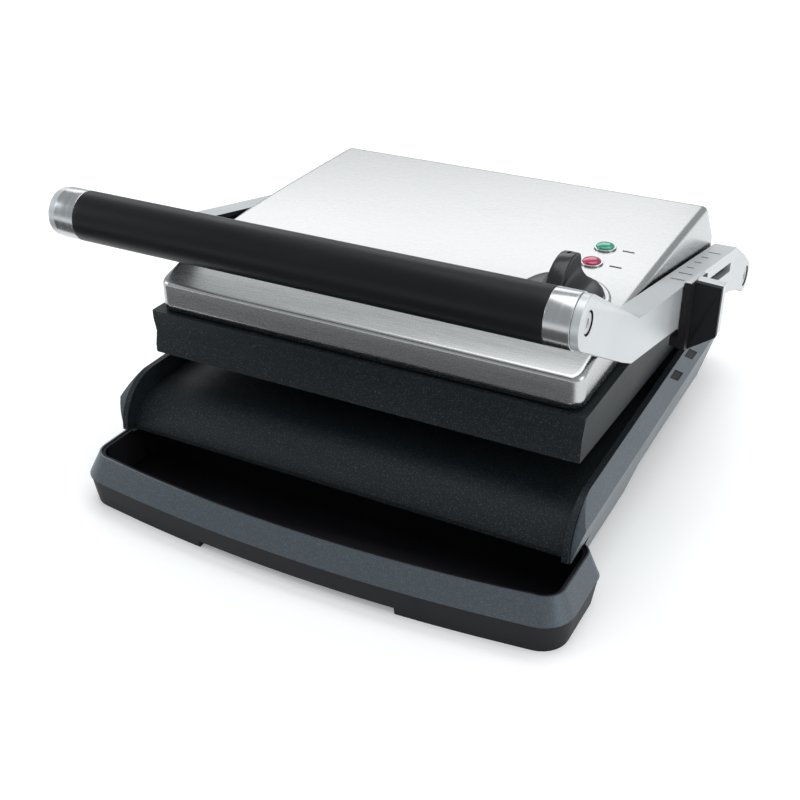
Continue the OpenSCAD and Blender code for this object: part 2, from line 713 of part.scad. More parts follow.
// Holes in the crown for the dial shaft and the two lamps
dial_x = rim_x - 46.3;
dial_y = 131;
lamp_x = rim_x - 45.8;
lamp_ys = [184, 209.5];
lamp_hole_r = 5;

module crown_holes() {
    on_crown(dial_x, dial_y) translate([0, 0, -8]) cylinder(r = 4.5, h = 16);
    for (y = lamp_ys) on_crown(lamp_x, y) translate([0, 0, -8]) cylinder(r = lamp_hole_r, h = 16);
}

module top_cover() placed() color([0.82, 0.83, 0.84]) difference() {
    cover_form(0, 0);
    cover_form(sheet_t, 2);
    crown_holes();
    both_sides() bar(cover_x - 3, cover_x + 1, float_y, float_z, float_r + 1);
}

frame_x = cover_x - sheet_t - 0.1;
frame_front = lid_front + sheet_t + 0.2;
frame_rear = lid_rear - sheet_t - 0.2;
frame_lip = 2.5;

// The frame's ring: it fills the gap under the cover and stands up a little inside it
module frame_ring() difference() {
    intersection() {
        across(-frame_x, frame_x) polygon([
            [frame_front, rim_top_z], [frame_front, cover_z + frame_lip], [lid_drop_y, cover_z + frame_lip],
            [frame_rear, rim_z(frame_rear) + shadow_gap + frame_lip], [frame_rear, rim_z(frame_rear)],
            [lid_drop_y, rim_top_z]]);
        translate([0, 0, rim_rear_z - 10]) linear_extrude(lid_top_z)
            round_plan(frame_x, frame_front, frame_rear, cover_corner - sheet_t);
    }
    box([-frame_x + 6, frame_front + 6, 90], [frame_x - 6, frame_rear - 6, rim_top_z + 20]);
}

module inner_frame() placed() color([0.05, 0.05, 0.055]) difference() {
    union() {
        frame_ring();
        both_sides() for (y = lid_posts)
            box([lid_post_x - 7, y - 7, rim_top_z], [frame_x - 1, y + 7, cover_z]);
        both_sides() box([pivot_in, float_y - 11, rim_top_z], [frame_x, float_y + 11, float_z + 10]);
    }
    both_sides() bar(pivot_in - 1, frame_x + 1, float_y, float_z, float_r + run_fit);
    both_sides() for (y = lid_posts)
        translate([lid_post_x, y, rim_top_z - 2]) cylinder(r = screw_r + 0.1, h = 12);
}

module lid_screws() placed() color("silver") both_sides() for (y = lid_posts) {
    translate([lid_post_x, y, rim_top_z - 11]) cylinder(r = screw_r, h = 11 + shadow_gap + eps);
    translate([lid_post_x, y, cover_z]) cylinder(r = screw_head_r, h = screw_head_h);
}

// ---- dial, thermostat, lamps ----

bezel_h = 1.6;
shaft_r = 3;
bezel_rim = 4.5;
dome_h = 5;
blade_t = 11;
blade_top = 24;
blade_arc = 25;
blade_back = 7;

// Round outline of the dial's blade, whose crest lies a little behind the middle
module blade_disc(inset) translate([0, blade_back, bezel_h + blade_top - blade_arc]) rotate([0, 90, 0])
    cylinder(r = blade_arc - inset, h = 2 * blade_t, center = true);

module dial_bezel() placed() color([0.8, 0.81, 0.82]) on_crown(dial_x, dial_y) difference() {
    translate([0, 0, 0.02]) cylinder(r = dial_r + bezel_rim, h = bezel_h);
    translate([0, 0, -1]) cylinder(r = 4.5, h = 5);
}

module thermostat() placed() color([0.78, 0.76, 0.7]) on_crown(dial_x, dial_y) difference() {
    union() {
        translate([0, 0, -21]) cylinder(r = 15, h = 13);
        translate([0, 0, -8 - eps]) cylinder(r = 8, h = 4);
        translate([-13, -19, -8 - eps]) cube([26, 38, 1.5]);
        both_sides() translate([9, -19, -8]) cube([4, 3, 6]);
        both_sides() translate([9, 16, -8]) cube([4, 3, 6]);
    }
    translate([0, 0, -15]) cylinder(r = shaft_r + run_fit, h = 20);
}

module dial_shaft() placed() color([0.7, 0.7, 0.72]) on_crown(dial_x, dial_y)
    translate([0, 0, -14.5]) cylinder(r = shaft_r, h = 27);

module dial_knob() placed() color([0.06, 0.06, 0.07]) on_crown(dial_x, dial_y) difference() {
    union() {
        translate([0, 0, bezel_h + 0.4]) cylinder(r = dial_r, h = 3);
        translate([0, 0, bezel_h + 3.4 - eps]) rotate_extrude() polygon(concat(
            [[0, 0]], [for (i = [0:8]) [dial_r * cos(i * 9), dome_h * sin(i * 9)]], [[0, dome_h]]));
        intersection() {
            translate([-blade_t / 2, -dial_r + 3, bezel_h + 3]) cube([blade_t, 2 * dial_r - 8, blade_top]);
            blade_disc(0);
        }
    }
    translate([0, 0, -1]) cylinder(r = shaft_r, h = 13.5);
    pointer_slot(0);
}

// The slot across the blade's crest, and the white insert that fills its lower part
module pointer_slot(sunk) translate([-0.8, blade_back + 3, bezel_h + blade_top - 5])
    cube([1.6, 8, 5 - sunk]);

module dial_pointer() placed() color("white") on_crown(dial_x, dial_y) intersection() {
    pointer_slot(0);
    blade_disc(1.2);
}

module lens(y) on_crown(lamp_x, y) translate([0, 0, 0.6]) {
    cylinder(r = lens_r, h = 1);
    translate([0, 0, 1 - eps]) rotate_extrude() polygon(concat(
        [[0, 0]], [for (i = [0:8]) [lens_r * cos(i * 11.25), 2 * sin(i * 11.25)]]));
}

module power_lens() placed() color([0.0, 0.6, 0.35]) lens(lamp_ys[1]);
module ready_lens() placed() color([0.75, 0.05, 0.2]) lens(lamp_ys[0]);

module lens_rings() placed() color([0.75, 0.76, 0.77]) for (y = lamp_ys) on_crown(lamp_x, y) difference() {
    translate([0, 0, 0.05]) cylinder(r = lens_r + 1.4, h = 1);
    translate([0, 0, -1]) cylinder(r = lamp_hole_r, h = 4);
    translate([0, 0, 0.6]) cylinder(r = lens_r, h = 4);
}

module lamp_holders() placed() color([0.85, 0.85, 0.82]) for (y = lamp_ys) on_crown(lamp_x, y) {
    translate([0, 0, -16]) cylinder(r = lamp_hole_r - 0.2, h = 16.6);
    translate([0, 0, -4.5]) cylinder(r = lamp_hole_r + 2, h = 2);
}

module lamp_marks() placed() color([0.2, 0.2, 0.22]) for (y = lamp_ys)
    on_crown(lamp_x + 16, y) translate([-4, -0.7, 0.02]) cube([8, 1.4, 0.12]);

module conduit_gland() placed() color([0.45, 0.46, 0.48]) difference() {
    x = cover_x - 15;
    translate([x, lid_rear, cover_z - 8]) rotate([-90, 0, 0]) cylinder(r = 5, h = 5);
    translate([x, lid_rear - 1, cover_z - 8]) rotate([-90, 0, 0]) cylinder(r = 3, h = 8);
}

base_shell();
base_pan();
pan_screws();
rubber_feet();
height_rack();
lower_plate();
lower_heater();
lower_reflector();
thermal_cutout();
rear_housing();
housing_floor();
terminal_block();
cord_gland();
hinge_post_left();
hinge_post_right();
hinge_pin_left();
hinge_pin_right();
tray_pan();
tray_band();
arm_left();
arm_right();
handle_tube();
handle_grip();
ferrule_left();
ferrule_right();
handle_screws();
lid_pivot_left();
lid_pivot_right();
scale_marks();
track_liner();
slider_body();
slider_trim();
slider_key();
upper_plate();
upper_heater();
upper_reflector();
inner_frame();
lid_screws();
top_cover();
dial_bezel();
thermostat();
power_lens();
ready_lens();
lens_rings();
lamp_holders();
lamp_marks();
conduit_gland();
dial_knob();
dial_pointer();
dial_shaft();
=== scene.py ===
import json
import math

import bmesh
import bpy
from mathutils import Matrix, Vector


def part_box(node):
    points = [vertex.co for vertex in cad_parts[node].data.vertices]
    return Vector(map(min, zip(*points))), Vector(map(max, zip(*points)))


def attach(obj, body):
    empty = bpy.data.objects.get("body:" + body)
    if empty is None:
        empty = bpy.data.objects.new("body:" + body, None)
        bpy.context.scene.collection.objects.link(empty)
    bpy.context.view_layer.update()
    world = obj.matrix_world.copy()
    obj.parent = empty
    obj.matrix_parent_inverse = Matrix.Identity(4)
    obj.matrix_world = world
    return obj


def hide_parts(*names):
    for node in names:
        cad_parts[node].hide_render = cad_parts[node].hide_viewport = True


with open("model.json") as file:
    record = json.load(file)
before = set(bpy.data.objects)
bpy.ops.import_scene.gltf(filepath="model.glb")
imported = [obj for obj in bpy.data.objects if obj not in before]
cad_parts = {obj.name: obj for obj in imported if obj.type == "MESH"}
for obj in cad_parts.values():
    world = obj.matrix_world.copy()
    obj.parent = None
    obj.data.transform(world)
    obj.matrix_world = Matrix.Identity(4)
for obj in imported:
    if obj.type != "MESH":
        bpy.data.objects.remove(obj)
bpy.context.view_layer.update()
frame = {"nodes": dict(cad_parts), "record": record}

MM = 0.001
NODES = frame["nodes"]
RECORD = frame["record"]
BODY_OF = {n: body for body, names in RECORD["behaviour"]["bodies"].items() for n in names}
SLOT_OF = {part["node"]: part["material_slot"] for part in RECORD["subparts"]}

# ---------------------------------------------------------------- materials


def principled(name, color, rough, metallic=0.0, specular=0.5, coat=0.0, coat_rough=0.1):
    """A node material with constant values on its shader."""
    mat = bpy.data.materials.new(name)
    mat.use_nodes = True
    shader = mat.node_tree.nodes["Principled BSDF"]
    shader.inputs["Base Color"].default_value = (*color, 1)
    shader.inputs["Roughness"].default_value = rough
    shader.inputs["Metallic"].default_value = metallic
    shader.inputs["Specular IOR Level"].default_value = specular
    shader.inputs["Coat Weight"].default_value = coat
    shader.inputs["Coat Roughness"].default_value = coat_rough
    return mat


def node(mat, kind, **values):
    """A new node; each value goes to the input of that name, or else to the setting."""
    made = mat.node_tree.nodes.new(kind)
    for key, value in values.items():
        if key in made.inputs:
            made.inputs[key].default_value = value
        else:
            setattr(made, key, value)
    return made


def link(mat, a, out, b, into):
    """Joins node a's output to node b's input."""
    mat.node_tree.links.new(a.outputs[out], b.inputs[into])


def coords(mat, stretch=(1, 1, 1)):
    """Object coordinates, stretched along chosen axes."""
    place = node(mat, "ShaderNodeTexCoord")
    mapping = node(mat, "ShaderNodeMapping")
    mapping.inputs["Scale"].default_value = stretch
    link(mat, place, "Object", mapping, "Vector")
    return mapping


def noise(mat, scale, detail=2.0, stretch=(1, 1, 1), roughness=0.5):
    """Noise in object coordinates; the scale is in waves per metre."""
    made = node(mat, "ShaderNodeTexNoise", Scale=scale, Detail=detail, Roughness=roughness)
    link(mat, coords(mat, stretch), "Vector", made, "Vector")
    return made


def remap(mat, source, out, low, high, to_low, to_high):
    """Maps an output's range low..high to to_low..to_high."""
    made = node(mat, "ShaderNodeMapRange")
    for key, value in (("From Min", low), ("From Max", high), ("To Min", to_low), ("To Max", to_high)):
        made.inputs[key].default_value = value
    link(mat, source, out, made, "Value")
    return made


def mix_color(mat, factor, a, b):
    """The socket of a blend from colour a to colour b."""
    made = node(mat, "ShaderNodeMix", data_type="RGBA")
    made.inputs[6].default_value = (*a, 1)
    made.inputs[7].default_value = (*b, 1)
    mat.node_tree.links.new(factor, made.inputs[0])
    return made.outputs[2]


def bump(mat, height, strength, distance):
    """Height into the shader's normal; the distance is in metres."""
    made = node(mat, "ShaderNodeBump", Strength=strength, Distance=distance)
    mat.node_tree.links.new(height, made.inputs["Height"])
    link(mat, made, "Normal", mat.node_tree.nodes["Principled BSDF"], "Normal")


def to_shader(mat, socket, into):
    """Joins a socket to one of the shader's inputs."""
    mat.node_tree.links.new(socket, mat.node_tree.nodes["Principled BSDF"].inputs[into])


def edge_wear(mat):
    """0 on flat faces, up to 1 on convex edges."""
    geometry = node(mat, "ShaderNodeNewGeometry")
    return remap(mat, geometry, "Pointiness", 0.5, 0.58, 0.0, 1.0)


def moulded(name, color, rough, grain=900.0, depth=0.00004, specular=0.3, lighter=1.6):
    """Textured moulded plastic: fine grain, a slow gloss variation and paler worn edges."""
    mat = principled(name, color, rough, specular=specular)
    fine = noise(mat, grain, 3.0)
    slow = noise(mat, 14.0, 3.0)
    bump(mat, fine.outputs["Fac"], 0.35, depth)
    to_shader(mat, remap(mat, slow, "Fac", 0.3, 0.7, rough - 0.05, rough + 0.07).outputs[0], "Roughness")
    worn = tuple(min(1, c * lighter + 0.008) for c in color)
    to_shader(mat, mix_color(mat, edge_wear(mat).outputs[0], color, worn), "Base Color")
    return mat


BRUSH_DEPTH = 0.00002


def brushed(name, color, rough, stretch, grain, contrast=0.06, strength=0.25):
    """Brushed metal: long hairlines in colour, gloss and height along the brushing direction."""
    mat = principled(name, color, rough, metallic=1.0)
    lines = noise(mat, grain, 4.0, stretch, 0.65)
    broad = noise(mat, 9.0, 2.0)
    bump(mat, lines.outputs["Fac"], strength, BRUSH_DEPTH)
    gloss = remap(mat, lines, "Fac", 0.3, 0.7, rough - contrast, rough + contrast)
    to_shader(mat, gloss.outputs[0], "Roughness")
    tint = remap(mat, lines, "Fac", 0.25, 0.75, 0.0, 1.0)
    dark = tuple(c * 0.94 for c in color)
    pale = tuple(min(1, c * 1.04) for c in color)
    blend = node(mat, "ShaderNodeMath", operation="MULTIPLY_ADD")
    link(mat, tint, 0, blend, 0)
    blend.inputs[1].default_value = 0.8
    link(mat, remap(mat, broad, "Fac", 0.3, 0.7, 0.0, 0.2), 0, blend, 2)
    to_shader(mat, mix_color(mat, blend.outputs[0], dark, pale), "Base Color")
    return mat


def speckled(name, color, fleck, rough, specular=0.35):
    """Non-stick coating: dark body, pale flecks well under a millimetre, slightly pebbled."""
    mat = principled(name, color, rough, specular=specular)
    flecks = noise(mat, 1500.0, 1.0)
    amount = remap(mat, flecks, "Fac", 0.56, 0.74, 0.0, 1.0)
    slow = noise(mat, 10.0, 3.0)
    fade = node(mat, "ShaderNodeMath", operation="MULTIPLY")
    link(mat, amount, 0, fade, 0)
    link(mat, remap(mat, slow, "Fac", 0.25, 0.75, 0.6, 1.0), 0, fade, 1)
    to_shader(mat, mix_color(mat, fade.outputs[0], color, fleck), "Base Color")
    pebble = noise(mat, 700.0, 2.0)
    bump(mat, pebble.outputs["Fac"], 0.5, 0.00008)
    to_shader(mat, remap(mat, slow, "Fac", 0.3, 0.7, rough - 0.04, rough + 0.08).outputs[0], "Roughness")
    return mat


def painted(name, color, flake, rough):
    """Metallic paint: fine flake, light orange peel and worn edges."""
    mat = principled(name, color, rough, metallic=0.55, specular=0.4, coat=0.12, coat_rough=0.3)
    grains = noise(mat, 1300.0, 1.0)
    sparkle = remap(mat, grains, "Fac", 0.45, 0.75, 0.0, 0.8)
    to_shader(mat, mix_color(mat, sparkle.outputs[0], color, flake), "Base Color")
    peel = noise(mat, 320.0, 2.0)
    bump(mat, peel.outputs["Fac"], 0.12, 0.00006)
    slow = noise(mat, 12.0, 3.0)
    to_shader(mat, remap(mat, slow, "Fac", 0.3, 0.7, rough - 0.03, rough + 0.05).outputs[0], "Roughness")
    return mat


def cast(name, color, rough, metallic=1.0):
    """Satin die casting: bead-blasted grain and slightly brighter edges."""
    mat = principled(name, color, rough, metallic=metallic, specular=0.5)
    grain = noise(mat, 1600.0, 3.0)
    broad = noise(mat, 25.0, 3.0)
    bump(mat, grain.outputs["Fac"], 0.22, 0.00003)
    to_shader(mat, remap(mat, broad, "Fac", 0.3, 0.7, rough - 0.04, rough + 0.05).outputs[0], "Roughness")
    bright = tuple(min(1, c * 1.15) for c in color)
    to_shader(mat, mix_color(mat, edge_wear(mat).outputs[0], color, bright), "Base Color")
    return mat


def tinted_lens(name, color, glow):
    """Translucent lamp lens: glossy, ribbed inside, with a soft inner glow."""
    mat = principled(name, color, 0.12, specular=0.5, coat=0.5, coat_rough=0.05)
    shader = mat.node_tree.nodes["Principled BSDF"]
    shader.inputs["Emission Color"].default_value = (*glow, 1)
    shader.inputs["Emission Strength"].default_value = 0.12
    cells = noise(mat, 260.0, 1.0)
    deep = tuple(c * 0.55 for c in color)
    depth = remap(mat, cells, "Fac", 0.4, 0.6, 0.0, 1.0)
    to_shader(mat, mix_color(mat, depth.outputs[0], deep, color), "Base Color")
    bump(mat, cells.outputs["Fac"], 0.1, 0.0001)
    return mat


def ceramic_like(name, color, rough):
    """Hard pale moulding, slightly dusty."""
    mat = principled(name, color, rough, specular=0.4)
    grain = noise(mat, 500.0, 2.0)
    bump(mat, grain.outputs["Fac"], 0.15, 0.00004)
    dusty = tuple(c * 0.82 for c in color)
    dust = remap(mat, noise(mat, 60.0, 4.0), "Fac", 0.35, 0.7, 0.0, 1.0)
    to_shader(mat, mix_color(mat, dust.outputs[0], color, dusty), "Base Color")
    return mat


STEEL_BRUSH = (0.04, 1.0, 1.0)
TURNED_BRUSH = (1.0, 0.03, 0.03)
M = {
    "painted_silver": painted("painted_silver", (0.085, 0.105, 0.12), (0.15, 0.175, 0.195), 0.42),
    "black_plastic": moulded("black_plastic", (0.0045, 0.0045, 0.006), 0.5, specular=0.16, lighter=1.2),
    "non_stick": speckled("non_stick", (0.009, 0.012, 0.015), (0.06, 0.078, 0.085), 0.46, specular=0.26),
    "brushed_cover": brushed("brushed_cover", (0.505, 0.51, 0.512), 0.27, STEEL_BRUSH, grain=900.0,
                             contrast=0.02, strength=0.1),
    "ferrule_steel": brushed("ferrule_steel", (0.52, 0.53, 0.54), 0.24, TURNED_BRUSH, grain=700.0),
    "cast_alloy": cast("cast_alloy", (0.56, 0.58, 0.59), 0.36, metallic=0.55),
    "plain_steel": brushed("plain_steel", (0.5, 0.5, 0.52), 0.3, (0.05, 1, 1), grain=600.0),
    "heater_sheath": brushed("heater_sheath", (0.12, 0.105, 0.095), 0.45, (1, 1, 1), grain=160.0),
    "reflector": brushed("reflector", (0.7, 0.7, 0.72), 0.32, (0.05, 1, 1), grain=400.0),
    "insulator": ceramic_like("insulator", (0.68, 0.64, 0.54), 0.35),
    "grip": moulded("grip", (0.004, 0.0042, 0.0055), 0.40, grain=1500.0, depth=0.00002, specular=0.22),
    "rubber": moulded("rubber", (0.014, 0.014, 0.014), 0.72, grain=700.0, specular=0.2),
    "green_lens": tinted_lens("green_lens", (0.0, 0.27, 0.17), (0.0, 0.6, 0.36)),
    "red_lens": tinted_lens("red_lens", (0.42, 0.004, 0.07), (0.6, 0.01, 0.12)),
    "mark_ink": moulded("mark_ink", (0.03, 0.03, 0.033), 0.5),
    "pointer_white": ceramic_like("pointer_white", (0.75, 0.75, 0.75), 0.3),
    "gloss_black": moulded("gloss_black", (0.006, 0.008, 0.010), 0.28, grain=1200.0, depth=0.00001,
                           specular=0.45),
}

# ---------------------------------------------------------------- mesh helpers


def new_object(name, mesh, body, slot, smooth_angle=35.0):
    """Adds a mesh as a piece: its body, its material slot and its finish."""
    for polygon in mesh.polygons:
        polygon.use_smooth = True
    mesh.set_sharp_from_angle(angle=math.radians(smooth_angle))
    mesh.materials.clear()
    mesh.materials.append(M[slot])
    piece = bpy.data.objects.new(name, mesh)
    bpy.context.scene.collection.objects.link(piece)
    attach(piece, body)
    return piece


def refined(name, of_node, width, segments, angle):
    """Stands in for a CAD node: the same shape with every hard edge rounded off."""
    source = NODES[of_node]
    mesh = source.data.copy()
    bm = bmesh.new()
    bm.from_mesh(mesh)
    bmesh.ops.remove_doubles(bm, verts=bm.verts, dist=2e-6)
    if of_node != "upper_plate":  # its grooved face has holes, which one merged face can't hold
        bmesh.ops.dissolve_limit(bm, angle_limit=math.radians(0.6), verts=bm.verts, edges=bm.edges)
    bmesh.ops.recalc_face_normals(bm, faces=bm.faces)
    bm.to_mesh(mesh)
    bm.free()
    piece = new_object(name, mesh, BODY_OF[of_node], SLOT_OF[of_node])
    rounding = piece.modifiers.new("rounding", "BEVEL")
    rounding.width = width * MM
    rounding.segments = segments
    rounding.limit_method = "ANGLE"
    rounding.angle_limit = math.radians(angle)
    rounding.harden_normals = False
    rounding.miter_outer = "MITER_ARC"
    shading = piece.modifiers.new("shading", "WEIGHTED_NORMAL")
    shading.keep_sharp = True
    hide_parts(of_node)


def mesh_from(name, verts, faces):
    """A mesh from points and faces, with its normals made to agree."""
    mesh = bpy.data.meshes.new(name)
    mesh.from_pydata([tuple(v) for v in verts], [], faces)
    bm = bmesh.new()
    bm.from_mesh(mesh)
    bmesh.ops.recalc_face_normals(bm, faces=bm.faces)
    bm.to_mesh(mesh)
    bm.free()
    return mesh


def lathe(profile, placed, steps=96):
    """Turns (radius, height) points into a closed solid; placed() maps a local point into the frame."""
    verts, faces, rings = [], [], []
    for radius, height in profile:
        if radius < 1e-9:
            rings.append([len(verts)])
            verts.append(placed(Vector((0, 0, height))))
            continue
        rings.append(list(range(len(verts), len(verts) + steps)))
        for i in range(steps):
            a = 2 * math.pi * i / steps
            verts.append(placed(Vector((radius * math.cos(a), radius * math.sin(a), height))))
    for low, high in zip(rings, rings[1:]):
        for i in range(steps):
            j = (i + 1) % steps
            if len(low) == 1 and len(high) == 1:
                continue
            if len(low) == 1:
                faces.append((low[0], high[j], high[i]))
            elif len(high) == 1:
                faces.append((low[i], low[j], high[0]))
            else:
                faces.append((low[i], low[j], high[j], high[i]))
    return verts, faces


def grid_faces(rows):
    """Faces of a grid whose rows list the indices of their points."""
    faces = []
    for low, high in zip(rows, rows[1:]):
        faces += [(low[i], low[i + 1], high[i + 1], high[i]) for i in range(len(low) - 1)]
    return faces


def outline_of(rows):
    """Indices of the points round the edge of a grid, in order."""
    ends = rows[1:-1]
    return rows[0] + [row[-1] for row in ends] + list(reversed(rows[-1])) + [row[0] for row in reversed(ends)]


def wall_faces(upper, lower):
    """Faces between two closed rings of equal length."""
    n = len(lower)
    return [(upper[i], lower[i], lower[(i + 1) % n], upper[(i + 1) % n]) for i in range(n)]


CORNER_STEPS = 5


def rounded(profile, radius):
    """Rounds the corners of an open 2D profile."""
    out = [Vector(profile[0])]
    for a, b, c in zip(profile, profile[1:], profile[2:]):
        a, b, c = Vector(a), Vector(b), Vector(c)
        back, forth = (a - b), (c - b)
        r = min(radius, back.length * 0.49, forth.length * 0.49)
        start, end = b + back.normalized() * r, b + forth.normalized() * r
        for i in range(CORNER_STEPS + 1):
            t = i / CORNER_STEPS
            out.append(start * (1 - t) ** 2 + b * 2 * t * (1 - t) + end * t ** 2)
    out.append(Vector(profile[-1]))
    return out


# ---------------------------------------------------------------- the drawn steel cover

cover_lo, cover_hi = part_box("top_cover")
casting_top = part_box("upper_plate")[1].z
COVER_X = cover_hi.x
COVER_FRONT = cover_lo.y
COVER_REAR = cover_hi.y
COVER_TOP = cover_hi.z
COVER_FOOT = casting_top + 2 * MM
RIDGE_BACK = 34 * MM
CROWN_Y = COVER_REAR - RIDGE_BACK
CROWN_LEN = CROWN_Y - COVER_FRONT - 0.4 * MM
CORNER = 8 * MM
DROP_LEN = 53 * MM
DROP_START = COVER_REAR - DROP_LEN
REAR_DROP = 13 * MM
REAR_FACE = 30 * MM
FOOT_RISE = 4 * MM
RIDGE_DIP = 1.4 * MM
RIDGE_SOFT = 3 * MM
SHEET_THICK = 1.2 * MM


def crown(y):
    """Height of the cover's top at a depth: falls gently, then fast at the front, with a round rear ridge."""
    u = max(0.0, (CROWN_Y - y) / CROWN_LEN)
    top = COVER_TOP - (4 * u + 5 * u ** 2 + 12 * u ** 6) * MM
    foot = COVER_FOOT + FOOT_RISE
    slope = foot + (COVER_REAR - y) * (COVER_TOP - RIDGE_DIP - foot) / REAR_FACE
    h = max(0.0, min(1.0, 0.5 + 0.5 * (top - slope) / RIDGE_SOFT))
    return top * (1 - h) + slope * h - RIDGE_SOFT * h * (1 - h)


def cover_foot(y):
    """Height of the cover's open edge, which drops away towards the back."""
    return COVER_FOOT - max(0.0, y - DROP_START) * REAR_DROP / DROP_LEN


def crown_slope(y):
    """Rise per metre of the crown at a depth."""
    d = 0.2 * MM
    return (crown(y + d) - crown(y - d)) / (2 * d)


EDGE_R = 4.2 * MM
END_R = 2.2 * MM
EDGE_STEPS = [EDGE_R * (1 - math.cos(math.radians(a))) for a in range(0, 91, 9)]
EDGE_STEPS += [5.2 * MM, 6.5 * MM, 8.2 * MM]


def edge_drop(x, y):
    """How far the surface falls below the crown near the plan's outline; the sides are rounder."""
    mid = (COVER_FRONT + COVER_REAR) / 2
    half_y = (COVER_REAR - COVER_FRONT) / 2
    qx = abs(x) - (COVER_X - CORNER)
    qy = abs(y - mid) - (half_y - CORNER)
    if qx > 0 and qy > 0:
        reach = math.hypot(qx, qy)
        away = CORNER - reach
        side = qx / max(reach, 1e-9)
    else:
        to_side, to_end = COVER_X - abs(x), half_y - abs(y - mid)
        away = min(to_side, to_end)
        side = 1.0 if to_side < to_end else 0.0
    r = END_R + (EDGE_R - END_R) * side
    away = max(0.0, min(r, away))
    return r - math.sqrt(max(0.0, r * r - (r - away) ** 2))


def half_width(y):
    """Half the cover's plan width at a depth, with its round corners."""
    into = min(y - COVER_FRONT, COVER_REAR - y, CORNER)
    return COVER_X - CORNER + math.sqrt(max(0.0, CORNER ** 2 - (CORNER - max(0.0, into)) ** 2))


def cover_mesh():
    """The drawn shell: a grid over the crown and a wall down from its outline."""
    ys = [COVER_FRONT + e for e in EDGE_STEPS]
    ys += [COVER_FRONT + d * MM for d in (10, 12, 15, 19, 24, 30, 38, 48, 60, 76, 95, 118)]
    ys += [COVER_FRONT + d * MM for d in (142, 166, 190, 212, 228, 236)]
    ridge = COVER_REAR - REAR_FACE
    ys += [ridge + d * MM for d in range(-10, 11)]
    ys += [COVER_REAR - d * MM for d in (17, 14, 11)]
    ys += [COVER_REAR - e for e in reversed(EDGE_STEPS)]
    across = 30
    verts, rows = [], []
    for y in ys:
        half = half_width(y)
        flat = half - EDGE_STEPS[-1]
        xs = [-half + e for e in EDGE_STEPS[:-1]]
        xs += [-flat + 2 * flat * i / across for i in range(across + 1)]
        xs += [half - e for e in reversed(EDGE_STEPS[:-1])]
        rows.append(list(range(len(verts), len(verts) + len(xs))))
        verts += [Vector((x, y, crown(y) - edge_drop(x, y))) for x in xs]
    faces = grid_faces(rows)
    outline = outline_of(rows)
    previous = outline
    for share in (0.35, 0.75, 1.0):
        ring = list(range(len(verts), len(verts) + len(outline)))
        for k in outline:
            x, y, z = verts[k]
            verts.append(Vector((x, y, z + (cover_foot(y) - z) * share)))
        faces += wall_faces(previous, ring)
        previous = ring
    return verts, faces


verts, faces = cover_mesh()
cover = new_object("steel_cover", mesh_from("steel_cover", verts, faces), "lid", "brushed_cover", 50)
sheet = cover.modifiers.new("sheet", "SOLIDIFY")
sheet.thickness = SHEET_THICK
sheet.offset = -1
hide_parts("top_cover")

# ---------------------------------------------------------------- handle


def along_x(x, y, z, flip=1):
    """Placer for a lathe whose axis lies along X, from x outwards."""
    return lambda p: Vector((flip * (x + p.z), y + p.x, z + p.y))


grip_lo, grip_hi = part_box("handle_grip")
handle_y = (grip_lo.y + grip_hi.y) / 2
handle_z = (grip_lo.z + grip_hi.z) / 2
grip_r = (grip_hi.z - grip_lo.z) / 2
grip_half = grip_hi.x
tube_r = 8 * MM
end_len = 6 * MM
GRIP_ROUND = 0.7 * MM
FERRULE_ROUND = 0.45 * MM
TURNED_STEPS = 128

grip_shape = rounded(
    [(tube_r, -grip_half), (grip_r, -grip_half), (grip_r, -grip_half + end_len), (grip_r, 0),
     (grip_r, grip_half - end_len), (grip_r, grip_half), (tube_r, grip_half)], GRIP_ROUND)
profile = [tuple(p) for p in grip_shape] + [(tube_r, -grip_half)]
verts, faces = lathe(profile, lambda p: Vector((p.z, handle_y + p.x, handle_z + p.y)), TURNED_STEPS)
grip = new_object("grip_sleeve", mesh_from("grip_sleeve", verts, faces), "lift_frame", "grip", 40)
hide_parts("handle_grip")

for side, flip in (("left", -1), ("right", 1)):
    lo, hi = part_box("ferrule_" + side)
    inner, outer = min(abs(lo.x), abs(hi.x)), max(abs(lo.x), abs(hi.x))
    length = outer - inner
    turned = rounded([(tube_r, 0), (grip_r, 0), (grip_r, length), (tube_r, length)], FERRULE_ROUND)
    profile = [tuple(p) for p in turned] + [(tube_r, 0)]
    verts, faces = lathe(profile, along_x(inner, handle_y, handle_z, flip), TURNED_STEPS)
    name = "ferrule_ring_" + side
    piece = new_object(name, mesh_from(name, verts, faces), "lift_frame", "ferrule_steel", 40)
    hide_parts("ferrule_" + side)

# ---------------------------------------------------------------- dial and lamps


def on_axis(base, axis):
    """Placer for shapes that stand on the crown: local Z follows the axis, local X stays across."""
    z = Vector(axis).normalized()
    x = Vector((1, 0, 0))
    y = z.cross(x)
    return lambda p: base + x * p.x + y * p.y + z * p.z


dial_joint = next(j for j in RECORD["behaviour"]["joints"] if j["name"] == "dial_turn")
dial_axis = Vector(dial_joint["axis"])
dial_at = on_axis(Vector(dial_joint["pos_m"]), dial_axis)


def half_span(name):
    """Half a CAD node's width, in millimetres."""
    lo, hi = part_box(name)
    return (hi.x - lo.x) / 2 / MM


